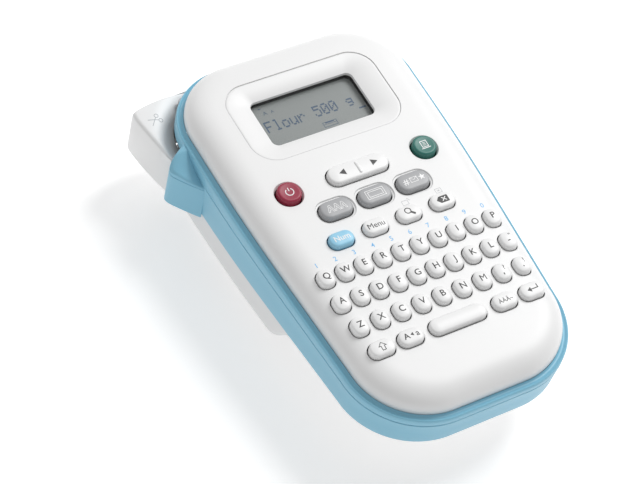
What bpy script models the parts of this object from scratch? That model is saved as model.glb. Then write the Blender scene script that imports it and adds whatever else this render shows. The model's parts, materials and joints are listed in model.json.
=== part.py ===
"""A hand-held label maker with a letter keyboard, as an assembly of separate parts.

The face frame has +X to the right across the keyboard, +Y towards the display and
+Z out of the face, with Z = 0 at the tops of the keys.  Everything is placed in that
frame, in millimetres, and one empty tilts it so that the machine stands on the flat
bottom of its battery and cassette hump.
"""
import math

import bmesh
import bpy
from mathutils import Vector

MM = 0.001

# Driving dimensions, in millimetres
KEY_PITCH = 9.05           # from one letter key to the next
ROW_PITCH = 13.0           # from one row of letters to the next
TILT = math.radians(3.35)  # how far the face leans towards the user
CLEARANCE = 0.3            # between pieces that lie against each other
KEY_GAP = 0.45             # round a key in its opening
LETTER_GAP = 0.35          # round a letter key, where there is less room

# The body's plan: two nearly straight sides that close in towards the user
FRONT_END = -70.6
BACK_END = 120.3
HALF_WIDTH = 54.5
TAPER = 0.062
TAPER_START = 45.0
TAPER_BLEND = 12.0
FRONT_CORNER = 32.0
BACK_CORNER = 28.5
SIDE_STATIONS = (-24.0, -4.0, 15.0, 30.0, 45.0, 62.0, 80.0)

# Depths below the key tops
PLATEAU = 2.6              # the flat of the face
WALL = 2.0
BAND_TOP = 11.6
SEAM = 17.0                # between the band and the housing under it, at y = 0 ...
SEAM_SLOPE = 0.02          # ... and how it deepens towards the display
BAND_OUTSET = 3.1          # how far the blue stands outside the white
LOWER_EDGE = 35.1          # the housing's lower edge ...
LOWER_EDGE_AT = 27.0       # ... at this Y; it runs parallel to the table
COVER_LIP = 3.4            # the cover's depth in front of the hump
HUMP_DEPTH = 58.3          # the hump's flat bottom ...
HUMP_DEPTH_AT = 45.0       # ... at this Y
HUMP_START = -4.0          # the ramp up to the hump runs from here ...
HUMP_FULL = 15.0           # ... to here

# Keys
LETTER_CAP = (7.3, 8.8, 3.5)       # width, length, corner radius
PILL_CAP = (11.6, 7.6, 3.75)
GREY_CAP = (15.3, 9.2, 4.5)
SPACE_CAP = (27.0, 7.6, 3.75)
ROCKER_CAP = (29.2, 9.3, 4.6)
ROUND_RADIUS = 5.4
WIDE_ROW_PITCH = 9.87
FLANGE = 0.9               # how far a key's flange stands out under the face, along y ...
FLANGE_SIDE = 0.3          # ... and along x, where the keys stand close
FLANGE_TOP = 5.85
FLANGE_BOTTOM = 6.5
KEYPAD = (88.0, 98.0, 12.0)        # the membrane's and the board's plan ...
KEYPAD_Y = 3.5                     # ... and its centre
KEYS_X = 0.4                       # the letter keys stand a little right of the middle
MEMBRANE = (7.8, 8.5)              # their depths
BOARD = (8.9, 10.5)

# Display
DISPLAY_Y = 82.8
BEZEL = (73.8, 42.8, 11.7)
WINDOW = (50.8, 24.6, 3.0)
LCD_MODULE = (62.0, 36.0, 1.5)

# Chassis and mechanism
CHASSIS = (19.6, 21.6)             # its depths, plan and centre
CHASSIS_PLAN = (94.0, 158.0, 20.0)
CHASSIS_Y = 26.0
GEAR_LEVEL = (23.2, 26.2)
GEAR_MODULE = 0.8
PINION_TEETH = 10
IDLER_TEETH = 20
PLATEN_TEETH = 20
PLATEN_XY = (-31.0, 86.3)
MOTOR_DIRECTION = math.radians(255.0)   # from the platen to the motor
TAPE_Y = 91.1
BATTERY_RADIUS = 5.25
BATTERY_LENGTH = 44.5
BATTERY_SPACING = 11.1
BATTERY_DEPTH = 28.6
BATTERY_Y = 25.5
LEVER_PIVOT = (-44.0, 117.5)
LEVER = (21.0, 45.0)       # its depth below the key tops, top and bottom
EAR = (19.4, 37.6)
POCKET_TOP = 17.5

# Where the face frame's zero stands, so that the box's bottom centre is the origin
SHIFT_X = 4.855
SHIFT_Y = -26.64


# ---------------------------------------------------------------- scene and helpers

for leftover in list(bpy.data.objects):
    bpy.data.objects.remove(leftover, do_unlink=True)

machine = bpy.data.collections.new("label_maker")
cutters = bpy.data.collections.new("cutters")
bpy.context.scene.collection.children.link(machine)
bpy.context.scene.collection.children.link(cutters)

face_frame = bpy.data.objects.new("face_frame", None)
machine.objects.link(face_frame)
face_frame.rotation_euler = (TILT, 0, 0)
face_frame.location = (
    SHIFT_X * MM,
    SHIFT_Y * MM,
    (HUMP_DEPTH * math.cos(TILT) - HUMP_DEPTH_AT * math.sin(TILT)) * MM,
)


def plastic(name, colour, roughness, metallic=0.0):
    """A Principled material."""
    material = bpy.data.materials.new(name)
    material.use_nodes = True
    shader = material.node_tree.nodes["Principled BSDF"]
    shader.inputs["Base Color"].default_value = (*colour, 1.0)
    shader.inputs["Roughness"].default_value = roughness
    shader.inputs["Metallic"].default_value = metallic
    return material


WHITE = plastic("white_abs", (0.83, 0.83, 0.83), 0.45)
BLUE = plastic("blue_abs", (0.24, 0.49, 0.62), 0.45)
SKY = plastic("sky_key", (0.34, 0.62, 0.79), 0.5)
GREY = plastic("grey_key", (0.38, 0.38, 0.38), 0.5)
RED = plastic("red_key", (0.34, 0.03, 0.07), 0.4)
GREEN = plastic("green_key", (0.04, 0.17, 0.16), 0.4)
BLACK = plastic("black_plastic", (0.02, 0.02, 0.02), 0.5)
LENS = plastic("clear_lens", (0.6, 0.62, 0.62), 0.1)
LCD = plastic("lcd_glass", (0.24, 0.26, 0.26), 0.3)
RUBBER = plastic("rubber", (0.05, 0.05, 0.05), 0.8)
BOARD_GREEN = plastic("circuit_board", (0.02, 0.12, 0.05), 0.5)
STEEL = plastic("steel", (0.55, 0.56, 0.58), 0.3, 1.0)
BRASS = plastic("brass", (0.6, 0.45, 0.18), 0.35, 1.0)
CELL = plastic("battery_jacket", (0.05, 0.06, 0.08), 0.35)
TAPE = plastic("label_tape", (0.85, 0.85, 0.82), 0.4)


def place(name, mesh, material, at=(0, 0, 0), helper=False, turn=(0, 0, 0)):
    """Put a mesh in the face frame, with its origin at a point in millimetres."""
    thing = bpy.data.objects.new(name, mesh)
    (cutters if helper else machine).objects.link(thing)
    thing.parent = face_frame
    thing.location = Vector(at) * MM
    thing.rotation_euler = [math.radians(angle) for angle in turn]
    if helper:
        thing.hide_render = True
        thing.display_type = "WIRE"
    else:
        mesh.materials.append(material)
    return thing


def finish_mesh(bm, name, smooth_angle=None):
    """Turn millimetres to metres and write the mesh."""
    bmesh.ops.recalc_face_normals(bm, faces=bm.faces)
    bmesh.ops.scale(bm, vec=(MM, MM, MM), verts=bm.verts)
    mesh = bpy.data.meshes.new(name)
    bm.to_mesh(mesh)
    bm.free()
    if smooth_angle:
        mesh.shade_smooth()
        mesh.set_sharp_from_angle(angle=math.radians(smooth_angle))
    return mesh


def block_mesh(name, size, radius=0.0, edge=0.0, steps=4):
    """A box with round corners in plan and an optional small chamfer on its top."""
    bm = bmesh.new()
    bmesh.ops.create_cube(bm, size=1.0)
    bmesh.ops.scale(bm, vec=size, verts=bm.verts)
    if radius:
        upright = [e for e in bm.edges if abs(e.verts[0].co.z - e.verts[1].co.z) > size[2] / 2]
        bmesh.ops.bevel(bm, geom=upright, offset=radius, segments=steps, profile=0.5,
                        affect="EDGES")
    if edge:
        top = [e for e in bm.edges if min(v.co.z for v in e.verts) > size[2] / 2 - 1e-6]
        bmesh.ops.bevel(bm, geom=top, offset=edge, segments=1, affect="EDGES")
    return finish_mesh(bm, name)


def block(name, size, centre, material, radius=0.0, edge=0.0, steps=4, helper=False):
    """Place a block by its centre."""
    mesh = block_mesh(name, size, radius, edge, steps)
    return place(name, mesh, material, centre, helper)


def slab(name, plan, depths, xy, material, helper=False, steps=4):
    """A round-cornered plate, given by its width, length and radius and two depths."""
    width, length, radius = plan
    size = (width, length, depths[1] - depths[0])
    centre = (xy[0], xy[1], -(depths[0] + depths[1]) / 2)
    return block(name, size, centre, material, radius, helper=helper, steps=steps)


def rod(name, radius, depths, xy, material, sides=24, helper=False):
    """A cylinder that stands square to the face, between two depths."""
    bm = bmesh.new()
    bmesh.ops.create_cone(bm, cap_ends=True, segments=sides, radius1=radius,
                          radius2=radius, depth=depths[1] - depths[0])
    mesh = finish_mesh(bm, name, 40)
    return place(name, mesh, material, (xy[0], xy[1], -sum(depths) / 2), helper)


def cut(target, cutter, operation="DIFFERENCE", thin=False):
    """Cut one object by another, or join it on; a thin folded shell needs the slower way."""
    change = target.modifiers.new(cutter.name, "BOOLEAN")
    change.operation = operation
    change.object = cutter
    change.solver = "EXACT"
    change.use_self = thin


def rounded_ring(width, length, radius, depth, steps=4):
    """The points of a round-cornered rectangle at one depth, in order round it."""
    points = []
    corners = ((1, 1, 0), (-1, 1, 90), (-1, -1, 180), (1, -1, 270))
    for side_x, side_y, start in corners:
        centre = (side_x * (width / 2 - radius), side_y * (length / 2 - radius))
        for step in range(steps + 1):
            angle = math.radians(start + 90 * step / steps)
            points.append((centre[0] + radius * math.cos(angle),
                           centre[1] + radius * math.sin(angle), -depth))
    return points


def half_width(y):
    """Half the white shell's width at y: straight, then closing in towards the user."""
    closing = (TAPER_START - y) / TAPER_BLEND
    return HALF_WIDTH - TAPER * TAPER_BLEND * math.log1p(math.exp(closing))


def body_ring(inset, depth, steps=6):
    """The body's plan, moved in by inset, at a depth that may depend on y.

    Points run up the right side from the front and back down the left, so the first
    and last are a mirrored pair, and so is each pair in between.
    """
    right = []
    for end, corner, side in ((FRONT_END, FRONT_CORNER, -1), (BACK_END, BACK_CORNER, 1)):
        radius = corner - inset
        centre_y = end - side * corner
        centre_x = half_width(centre_y) - corner
        arc = []
        for step in range(steps + 1):
            angle = math.radians(90 * step / steps)
            arc.append((centre_x + radius * math.cos(angle),
                        centre_y + side * radius * math.sin(angle)))
        right += reversed(arc) if side < 0 else arc
        if side < 0:
            right += [(half_width(y) - inset, y) for y in SIDE_STATIONS]
    plan = right + [(-x, y) for x, y in reversed(right)]
    level = depth if callable(depth) else (lambda y: depth)
    return [(x, y, -level(y)) for x, y in plan]


def skin(name, rings, material, loop=False, caps=False, lid=False, strips=False, at=(0, 0),
         thickness=0.0, helper=False):
    """A surface from ring to ring: closed in a loop, capped, or left open as a shell.

    A lid closes only the last ring, in one flat face or, where it isn't flat, in strips.
    """
    bm = bmesh.new()
    loops = [[bm.verts.new(point) for point in ring] for ring in rings]
    pairs = list(zip(loops, loops[1:]))
    if loop:
        pairs.append((loops[-1], loops[0]))
    count = len(rings[0])
    for lower, upper in pairs:
        for i in range(count):
            j = (i + 1) % count
            bm.faces.new((lower[i], lower[j], upper[j], upper[i]))
    if caps:
        bm.faces.new(loops[0])
    if caps or lid:
        bm.faces.new(loops[-1])
    if strips:
        last = loops[-1]
        for i in range(count // 2 - 1):
            bm.faces.new((last[i], last[i + 1], last[count - 2 - i], last[count - 1 - i]))
    mesh = finish_mesh(bm, name, 30)
    thing = place(name, mesh, material, (at[0], at[1], 0), helper)
    if thickness:
        wall = thing.modifiers.new("wall", "SOLIDIFY")
        wall.thickness = thickness * MM
        wall.offset = -1
        wall.use_even_offset = True
    return thing


def turned(name, profile, at, material, turn=(0, 0, 0), sides=16):
    """A turned piece from its (radius, height) profile, bottom to top."""
    rings = [[(radius * math.cos(2 * math.pi * i / sides), radius * math.sin(2 * math.pi * i / sides),
               height) for i in range(sides)] for radius, height in profile]
    thing = skin(name, rings, material, caps=True)
    thing.location = Vector(at) * MM
    thing.rotation_euler = [math.radians(angle) for angle in turn]
    return thing


def prism(name, outline, depths, material, helper=False, at=(0, 0)):
    """A flat outline carried between two depths."""
    rings = [[(x, y, -depth) for x, y in outline] for depth in reversed(depths)]
    return skin(name, rings, material, caps=True, helper=helper, at=at)


def lower_edge(y):
    """Depth of the housing's lower edge, level with the table."""
    return LOWER_EDGE + (y - LOWER_EDGE_AT) * math.tan(TILT)


def seam(y):
    """Depth of the line between the band and the housing."""
    return SEAM + SEAM_SLOPE * y


def housing_top(y):
    """Depth of the housing's upper edge, clear of the band."""
    return seam(y) + CLEARANCE


def cover_bottom(y):
    """Depth of the cover's bottom: shallow in front, an S-shaped ramp, then the hump."""
    t = min(1.0, max(0.0, (y - HUMP_START) / (HUMP_FULL - HUMP_START)))
    blend = t * t * (3 - 2 * t)
    shallow = lower_edge(y) + COVER_LIP
    deep = HUMP_DEPTH + (y - HUMP_DEPTH_AT) * math.tan(TILT)
    return shallow + (deep - shallow) * blend


# ---------------------------------------------------------------- keys

def key(name, plan, xy, material, top=0.0):
    """One key: a cap with a slightly smaller top, over a flange that keeps it in."""
    width, length, radius = plan
    flange = (width + 2 * FLANGE_SIDE, length + 2 * FLANGE, radius)
    rings = [
        rounded_ring(*flange, FLANGE_BOTTOM),
        rounded_ring(*flange, FLANGE_TOP),
        rounded_ring(width, length, radius, FLANGE_TOP),
        rounded_ring(width, length, radius, 0.8 + top),
        rounded_ring(width - 1.2, length - 1.2, radius - 0.6, top),
    ]
    return skin(name, rings, material, caps=True, at=xy)


BOTTOM_ROW_Y = -38.3
PILL_KEYS = {
    "num_key": (-24.7, 15.1, SKY),
    "menu_key": (-8.0, 15.3, WHITE),
    "search_key": (8.7, 15.7, WHITE),
    "delete_key": (25.4, 15.9, WHITE),
    "shift_key": (-35.9, BOTTOM_ROW_Y, WHITE),
    "case_key": (-22.3, BOTTOM_ROW_Y, WHITE),
    "accent_key": (23.3, BOTTOM_ROW_Y, WHITE),
    "enter_key": (36.9, BOTTOM_ROW_Y, WHITE),
}
GREY_KEYS = {"font_key": -18.8, "frame_key": 0.2, "symbol_key": 19.2}
GREY_Y = 30.0
ROCKER_Y = 44.5
ROUND_BUTTONS = {"power_button": (-33.4, RED), "print_button": (33.4, GREEN)}
ROUND_Y = 44.5

key_openings = []


def opening(plan, xy, gap=KEY_GAP):
    """Remember a hole in the face, a little larger than the key in it."""
    width, length, radius = plan
    key_openings.append(((width + 2 * gap, length + 2 * gap, radius + gap), xy))


for key_name, (x, y, colour) in PILL_KEYS.items():
    key(key_name, PILL_CAP, (x, y), colour)
    opening(PILL_CAP, (x, y))

for key_name, x in GREY_KEYS.items():
    key(key_name, GREY_CAP, (x, GREY_Y), GREY, top=0.5)
    opening(GREY_CAP, (x, GREY_Y))

for key_name, (x, colour) in ROUND_BUTTONS.items():
    round_plan = (2 * ROUND_RADIUS, 2 * ROUND_RADIUS, ROUND_RADIUS)
    key(key_name, round_plan, (x, ROUND_Y), colour, top=0.6)
    opening(round_plan, (x, ROUND_Y))

key("space_key", SPACE_CAP, (KEYS_X, BOTTOM_ROW_Y), WHITE)
opening(SPACE_CAP, (KEYS_X, BOTTOM_ROW_Y))
key("arrow_rocker", ROCKER_CAP, (0, ROCKER_Y), WHITE)
opening((ROCKER_CAP[0] + 0.6, ROCKER_CAP[1], ROCKER_CAP[2]), (0, ROCKER_Y))

LETTER_ROWS = ((0.4, 10, KEY_PITCH), (0.4 - ROW_PITCH, 10, KEY_PITCH),
               (0.4 - 2 * ROW_PITCH, 9, WIDE_ROW_PITCH))
for number, (row_y, count, pitch) in enumerate(LETTER_ROWS, 1):
    row_name = f"letter_row_{number}"
    web_length = (count - 1) * pitch + LETTER_CAP[0] + 2 * FLANGE_SIDE
    web = slab(row_name, (web_length, LETTER_CAP[1] + 2 * FLANGE, LETTER_CAP[2]),
               (FLANGE_TOP, FLANGE_BOTTOM), (KEYS_X, row_y), WHITE)
    width, length, radius = LETTER_CAP
    first_x = KEYS_X - (count - 1) * pitch / 2
    cap_rings = [
        rounded_ring(width, length, radius, FLANGE_TOP + 0.4, 3),
        rounded_ring(width, length, radius, 0.8, 3),
        rounded_ring(width - 1.2, length - 1.2, radius - 0.6, 0.0, 3),
    ]
    caps = skin(row_name + "_caps", cap_rings, None, caps=True, at=(first_x, row_y), helper=True)
    row = caps.modifiers.new("row", "ARRAY")
    row.count = count
    row.use_relative_offset = False
    row.use_constant_offset = True
    row.constant_offset_displace = (pitch * MM, 0, 0)
    cut(web, caps, "UNION")
    for index in range(count):
        opening(LETTER_CAP, (first_x + index * pitch, row_y), LETTER_GAP)


# ---------------------------------------------------------------- face and display

front_shell = skin("front_shell", [
    body_ring(0.6, 13.6),
    body_ring(0.0, 11.2),
    body_ring(0.5, 9.0),
    body_ring(1.8, 6.6),
    body_ring(4.2, 4.4),
    body_ring(7.2, 3.2),
    body_ring(10.5, 2.75),
    body_ring(14.0, PLATEAU),
], WHITE, lid=True, thickness=WALL)

hole_mesh = bmesh.new()
for plan, (x, y) in key_openings + [(BEZEL, (0, DISPLAY_Y))]:
    loops = [[hole_mesh.verts.new((x + px, y + py, pz)) for px, py, pz in
              rounded_ring(*plan, depth, 4 if plan == BEZEL else 3)] for depth in (9.0, -2.0)]
    count = len(loops[0])
    for i in range(count):
        j = (i + 1) % count
        hole_mesh.faces.new((loops[0][i], loops[0][j], loops[1][j], loops[1][i]))
    hole_mesh.faces.new(loops[0])
    hole_mesh.faces.new(loops[1])
face_holes = place("face_holes", finish_mesh(hole_mesh, "face_holes"), None, helper=True)
cut(front_shell, face_holes, thin=True)

trim = 2 * CLEARANCE
skin("display_bezel", [
    rounded_ring(BEZEL[0] - trim, BEZEL[1] - trim, BEZEL[2] - CLEARANCE, 3.6),
    rounded_ring(BEZEL[0] - trim - 5, BEZEL[1] - trim - 5, BEZEL[2] - 2.8, 2.9),
    rounded_ring(WINDOW[0], WINDOW[1], WINDOW[2], 5.6),
    rounded_ring(WINDOW[0], WINDOW[1], WINDOW[2], 7.0),
    rounded_ring(BEZEL[0] - trim, BEZEL[1] - trim, BEZEL[2] - CLEARANCE, 7.0),
], WHITE, loop=True, at=(0, DISPLAY_Y))
slab("display_window", (WINDOW[0] + 4, WINDOW[1] + 4, 3.0), (7.3, 8.5), (0, DISPLAY_Y), LENS)
slab("lcd_module", LCD_MODULE, (8.9, 12.0), (0, DISPLAY_Y), LCD)
slab("keypad_membrane", KEYPAD, MEMBRANE, (0, KEYPAD_Y), RUBBER)
slab("circuit_board", KEYPAD, BOARD, (0, KEYPAD_Y), BOARD_GREEN)


# ---------------------------------------------------------------- band, housing and cover

skin("accent_band", [
    body_ring(-0.4, BAND_TOP),
    body_ring(-2.5, BAND_TOP + 0.7),
    body_ring(-BAND_OUTSET, BAND_TOP + 2.0),
    body_ring(-BAND_OUTSET, seam),
    body_ring(-0.9, seam),
    body_ring(-0.4, BAND_TOP + 3.0),
], BLUE, loop=True)

rear_housing = skin("rear_housing", [
    body_ring(-BAND_OUTSET, housing_top),
    body_ring(-2.2, lower_edge),
    body_ring(0.2, lower_edge),
    body_ring(-0.6, housing_top),
], BLUE, loop=True)

ear_outline = ((-52.0, 69.0), (-57.5, 70.5), (-65.6, 80.5), (-67.3, 83.6), (-66.6, 86.2),
               (-60.5, 88.0), (-52.0, 88.2))
ear = prism("ear_block", ear_outline, EAR, None, helper=True)
cut(rear_housing, ear, "UNION")
inside = skin("housing_inside", [body_ring(0.3, 60.0), body_ring(0.3, 15.0)], None, caps=True,
              helper=True)
cut(rear_housing, inside)


def cover_level(share):
    """A depth some way down from the housing's edge to the cover's bottom."""
    return lambda y: lower_edge(y) + CLEARANCE + share * (cover_bottom(y) - lower_edge(y))


back_cover = skin("back_cover", [
    body_ring(-1.3, cover_level(0.0)),
    body_ring(-1.3, cover_level(0.4)),
    body_ring(0.8, cover_level(0.8)),
    body_ring(5.0, cover_bottom),
    body_ring(9.0, cover_bottom),
], WHITE, strips=True, thickness=WALL)

# The pocket at the back left corner, where the cutter lever swings, and the label's way out
pocket_outline = ((-90.0, 88.4), (-49.6, 88.4), (-49.6, 106.0), (-46.0, 111.5), (-34.0, 113.0),
                  (-34.0, 140.0), (-90.0, 140.0))
pocket = prism("lever_pocket", pocket_outline, (POCKET_TOP, LEVER[1] + 2.2), None, helper=True)
cut(rear_housing, pocket)
cut(back_cover, pocket)

chassis = slab("chassis", CHASSIS_PLAN, CHASSIS, (0, CHASSIS_Y), BLACK)
cut(chassis, pocket)


# ---------------------------------------------------------------- cutter

lever_outline = ((-54.0, 93.8), (-55.2, 100.0), (-53.5, 107.0), (-47.5, 113.6), (-41.0, 114.2),
                 (-38.2, 117.5), (-37.6, 122.6), (-38.8, 123.6), (-52.6, 122.3), (-63.9, 120.6),
                 (-66.2, 119.2), (-66.9, 116.6), (-65.6, 110.7), (-64.2, 102.6), (-61.8, 93.8))
cutter_lever = prism("cutter_lever", lever_outline[::-1], LEVER, WHITE)
pin_hole = rod("lever_pin_hole", 1.9, (15.0, 50.0), LEVER_PIVOT, None, helper=True)
cut(cutter_lever, pin_hole)
rod("lever_pin", 1.6, (POCKET_TOP + 2.4, LEVER[1] + 1.8), LEVER_PIVOT, STEEL)
block("cutter_blade", (0.6, 7.2, 21.0), (-48.9, 96.6, -39.5), STEEL)
block("blade_guide", (3.2, 9.0, 22.0), (-46.7, 98.5, -39.5), BLACK)


# ---------------------------------------------------------------- print mechanism

def gear(name, teeth, xy, first_tooth, depths, bore, material):
    """A spur gear with straight-sided teeth; first_tooth is the angle of one tooth."""
    pitch_radius = GEAR_MODULE * teeth / 2
    step = 2 * math.pi / teeth
    root, tip = pitch_radius - 1.15 * GEAR_MODULE, pitch_radius + 0.8 * GEAR_MODULE
    outline = []
    for tooth in range(teeth):
        middle = first_tooth + tooth * step
        for radius, share in ((root, -0.30), (tip, -0.13), (tip, 0.13), (root, 0.30)):
            angle = middle + share * step
            outline.append((radius * math.cos(angle), radius * math.sin(angle)))
    wheel = prism(name, outline, depths, material, at=xy)
    hole = rod(name + "_bore", bore, (depths[0] - 2, depths[1] + 2), xy, None, helper=True)
    cut(wheel, hole)
    return wheel


def along(start, distance):
    """A point at a distance from another, towards the motor."""
    return (start[0] + distance * math.cos(MOTOR_DIRECTION),
            start[1] + distance * math.sin(MOTOR_DIRECTION))


mesh_gap = 0.1
idler_xy = along(PLATEN_XY, GEAR_MODULE * (PLATEN_TEETH + IDLER_TEETH) / 2 + mesh_gap)
motor_xy = along(idler_xy, GEAR_MODULE * (IDLER_TEETH + PINION_TEETH) / 2 + mesh_gap)
gear("platen_gear", PLATEN_TEETH, PLATEN_XY, MOTOR_DIRECTION + math.pi / PLATEN_TEETH, GEAR_LEVEL,
     1.8, WHITE)
gear("idler_gear", IDLER_TEETH, idler_xy, MOTOR_DIRECTION, GEAR_LEVEL, 1.8, WHITE)
gear("motor_pinion", PINION_TEETH, motor_xy, MOTOR_DIRECTION + math.pi + math.pi / PINION_TEETH,
     GEAR_LEVEL, 1.3, BRASS)
rod("platen_shaft", 1.5, (22.2, 51.5), PLATEN_XY, STEEL, sides=16)
rod("idler_post", 1.5, (21.9, 28.0), idler_xy, STEEL, sides=16)
roller = rod("platen_roller", 4.2, (29.5, 49.5), PLATEN_XY, RUBBER)
cut(roller, rod("platen_roller_bore", 1.8, (20.0, 60.0), PLATEN_XY, None, helper=True))
turned("drive_motor", ((7.5, -47.0), (7.5, -28.0), (2.5, -28.0), (2.5, -26.9), (1.0, -26.9),
                       (1.0, -22.4)), (*motor_xy, 0), STEEL)
block("print_head", (8.0, 2.6, 19.0), (PLATEN_XY[0], TAPE_Y + 1.9, -39.5), BLACK)
block("heat_sink", (11.0, 3.0, 22.0), (PLATEN_XY[0], TAPE_Y + 5.0, -39.5), STEEL)


# ---------------------------------------------------------------- tape cassette

CASSETTE = (6.0, 82.5, 55.0, 53.0)       # centre x, y, width, length
CASSETTE_DEPTHS = (29.0, 50.0)
centre_x, centre_y, width, length = CASSETTE
cassette_case = slab("cassette_case", (width, length, 4.0), CASSETTE_DEPTHS, (centre_x, centre_y), GREY)
cut(cassette_case, slab("cassette_hollow", (width - 3.2, length - 3.2, 2.5), (30.6, 60.0),
                        (centre_x, centre_y), None, helper=True))
cut(cassette_case, block("cassette_slot", (6.0, 2.0, 19.6), (centre_x - width / 2, TAPE_Y, -40.9),
                         None, helper=True))
slab("cassette_lid", (width, length, 4.0), (50.3, 51.8), (centre_x, centre_y), GREY)
rod("label_spool", 17.5, (31.2, 49.6), (centre_x + 6.5, centre_y - 2.0), TAPE)
rod("ribbon_spool", 6.5, (31.2, 49.6), (centre_x - 18.5, centre_y - 16.0), BLACK, sides=16)
block("label_tape", (26.6, 0.4, 18.4), (-34.9, TAPE_Y, -40.4), TAPE)


# ---------------------------------------------------------------- batteries and fasteners

half = BATTERY_LENGTH / 2
for index in range(6):
    x = (index - 2.5) * BATTERY_SPACING
    way = 1 if index % 2 else -1
    turned(f"battery_{index + 1}", ((BATTERY_RADIUS, -half), (BATTERY_RADIUS, half - 1.4),
                                    (1.9, half - 1.4), (1.9, half)),
           (x, BATTERY_Y, -BATTERY_DEPTH), CELL, turn=(-90 * way, 0, 0))
for name, side in (("battery_contact_front", -1), ("battery_contact_back", 1)):
    block(name, (66.0, 0.8, 9.5), (0, BATTERY_Y + side * (half + 0.8), -BATTERY_DEPTH), STEEL)

SCREWS = ((-34.0, -58.0, 16.0), (34.0, -58.0, 16.0), (-40.0, 108.0, 22.0), (40.0, 108.0, 22.0))
for index, (x, y, top) in enumerate(SCREWS, 1):
    turned(f"case_screw_{index}", ((2.6, -14.0), (2.6, -12.2), (1.3, -12.2), (1.3, 0.0)),
           (x, y, -top), STEEL, sides=12)
block("lcd_flex", (30.0, 10.4, 0.4), (0, 59.1, -9.8), BRASS)
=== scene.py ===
import json
import math

import bmesh
import bpy
import numpy as np
from mathutils import Matrix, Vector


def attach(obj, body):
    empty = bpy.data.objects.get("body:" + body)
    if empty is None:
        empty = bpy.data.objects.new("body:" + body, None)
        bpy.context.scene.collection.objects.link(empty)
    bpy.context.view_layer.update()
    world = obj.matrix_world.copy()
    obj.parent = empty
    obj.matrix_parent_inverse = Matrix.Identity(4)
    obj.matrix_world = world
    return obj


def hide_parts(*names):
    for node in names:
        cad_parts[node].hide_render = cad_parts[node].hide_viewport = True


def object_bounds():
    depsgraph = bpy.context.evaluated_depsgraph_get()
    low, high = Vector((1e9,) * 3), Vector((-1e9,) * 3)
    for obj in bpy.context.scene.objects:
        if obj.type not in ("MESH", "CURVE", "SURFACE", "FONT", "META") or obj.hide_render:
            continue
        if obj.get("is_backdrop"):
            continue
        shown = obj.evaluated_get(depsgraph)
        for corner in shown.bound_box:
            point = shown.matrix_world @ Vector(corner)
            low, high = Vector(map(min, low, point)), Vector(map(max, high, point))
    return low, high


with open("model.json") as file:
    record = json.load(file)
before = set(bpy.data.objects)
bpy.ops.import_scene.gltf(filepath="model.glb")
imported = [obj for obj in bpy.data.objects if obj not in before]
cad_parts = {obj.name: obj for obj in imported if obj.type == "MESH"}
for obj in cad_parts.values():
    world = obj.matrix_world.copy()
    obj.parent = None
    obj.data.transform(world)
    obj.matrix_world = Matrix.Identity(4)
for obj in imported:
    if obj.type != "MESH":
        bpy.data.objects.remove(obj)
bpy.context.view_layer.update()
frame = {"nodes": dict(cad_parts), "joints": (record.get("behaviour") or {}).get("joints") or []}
print("frame loaded:", len(frame["nodes"]), "nodes")

# ---- the face frame: x across the keyboard, y towards the display, depth down from the key tops, in mm

mm = 0.001
joints = {joint["name"]: joint for joint in frame["joints"]}
across = np.array((1.0, 0.0, 0.0))
along = np.array(joints["rocker_tilt"]["axis"])
outward = np.array(joints["lever_press"]["axis"])
rockerPivot = {"y": 44.5, "depth": 4.0}
faceZero = (np.array(joints["rocker_tilt"]["pos_m"]) - along * rockerPivot["y"] * mm
            + outward * rockerPivot["depth"] * mm)


def toWorld(x, y, depth):
    # face-frame millimetres to world metres, for whole arrays at once
    x, y, depth = np.broadcast_arrays(x, y, depth)
    return (faceZero + x[..., None] * mm * across + y[..., None] * mm * along
            - depth[..., None] * mm * outward)


def faceBox(node):
    # a node's lowest and highest x, y and depth in the face frame, in mm
    data = frame["nodes"][node].data
    points = np.empty(len(data.vertices) * 3, np.float32)
    data.vertices.foreach_get("co", points)
    offset = points.reshape(-1, 3) - faceZero
    local = np.stack((offset @ across, offset @ along, -offset @ outward), 1) / mm
    return local.min(0), local.max(0)


def faceCentre(node):
    low, high = faceBox(node)
    return (low + high) / 2


# ---- camera, light and floor

camera = {"spot": (-415.7, -407.3, -753.8), "target": (-34.5, 16.5, 0.0), "roll": 15.83, "lens": 129.4}
eye = bpy.data.cameras.new("camera")
eye.lens = camera["lens"]
eye.sensor_width = 36.0
eye.clip_end = 20.0
cameraObject = bpy.data.objects.new("camera", eye)
bpy.context.scene.collection.objects.link(cameraObject)


def aim(spot, target, roll):
    # a frame that looks from spot to target, its up turned by roll about the line of sight
    forward = target - spot
    forward = forward / np.linalg.norm(forward)
    right = np.cross(forward, outward)
    right = right / np.linalg.norm(right)
    up = np.cross(right, forward)
    turn = math.radians(roll)
    right, up = (right * math.cos(turn) + up * math.sin(turn),
                 up * math.cos(turn) - right * math.sin(turn))
    matrix = np.eye(4)
    matrix[:3, 0], matrix[:3, 1], matrix[:3, 2], matrix[:3, 3] = right, up, -forward, spot
    return matrix


def matrixOf(values):
    return Matrix([list(map(float, row)) for row in values])


cameraObject.matrix_world = matrixOf(aim(toWorld(*camera["spot"]), toWorld(*camera["target"]),
                                         camera["roll"]))
bpy.context.scene.camera = cameraObject
bpy.context.scene.view_settings.view_transform = "Standard"


def areaLight(name, spot, target, size, power):
    light = bpy.data.lights.new(name, "AREA")
    light.shape = "DISK"
    light.size = size
    light.energy = power
    holder = bpy.data.objects.new(name, light)
    bpy.context.scene.collection.objects.link(holder)
    holder.matrix_world = matrixOf(aim(np.array(spot), np.array(target), 0.0))


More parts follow.
